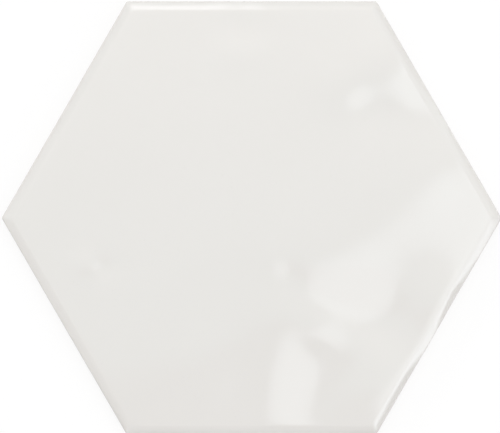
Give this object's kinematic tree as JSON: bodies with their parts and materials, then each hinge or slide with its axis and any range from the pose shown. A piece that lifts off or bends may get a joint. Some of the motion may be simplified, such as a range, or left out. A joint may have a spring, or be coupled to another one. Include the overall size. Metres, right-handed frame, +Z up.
{
  "type": "hexagon floor tile",
  "caption": "Hexagonal glazed ceramic floor tile with softly rolled edges, drafted sides and a honeycomb-keyed back.",
  "frame": {"origin": "middle of the back, in the plane that the back ribs rest on", "axes": "+X points at a corner of the hexagon, +Y at the middle of a side, +Z up out of the glazed face"},
  "size_m": [0.173, 0.15, 0.009],
  "materials": {
    "glaze": "glossy warm-white glaze, faintly rippled; bare fired clay on the lower sides and the back"
  },
  "bodies": {
    "root": {"hexagon_tile": "glaze"}
  },
  "joints": []
}
